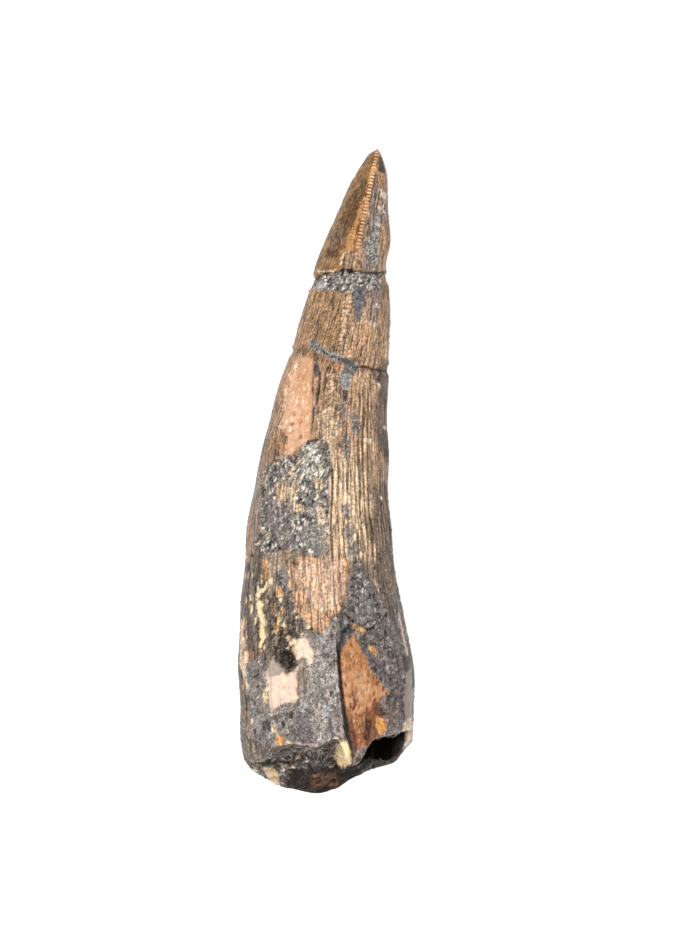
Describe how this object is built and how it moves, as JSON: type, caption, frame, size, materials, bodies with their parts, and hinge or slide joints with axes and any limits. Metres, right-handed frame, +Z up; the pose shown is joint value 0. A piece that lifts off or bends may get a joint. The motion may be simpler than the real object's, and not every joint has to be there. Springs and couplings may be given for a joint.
{
  "type": "fossil phytosaur tooth",
  "caption": "Curved, tapering fossil reptile tooth with a finely toothed keel, mended breaks, crusts of matrix and a broken root, lying on its side.",
  "frame": {"origin": "middle of the tooth's outline seen from above, on the surface that the tooth lies on", "axes": "+Y towards the tip, +Z up through the front keel, +X towards the hollow, inner side of the curve"},
  "size_m": [0.0142, 0.052, 0.0127],
  "materials": {
    "fossil_tooth": "satin"
  },
  "bodies": {
    "root": {"tooth": "fossil_tooth"}
  },
  "joints": []
}
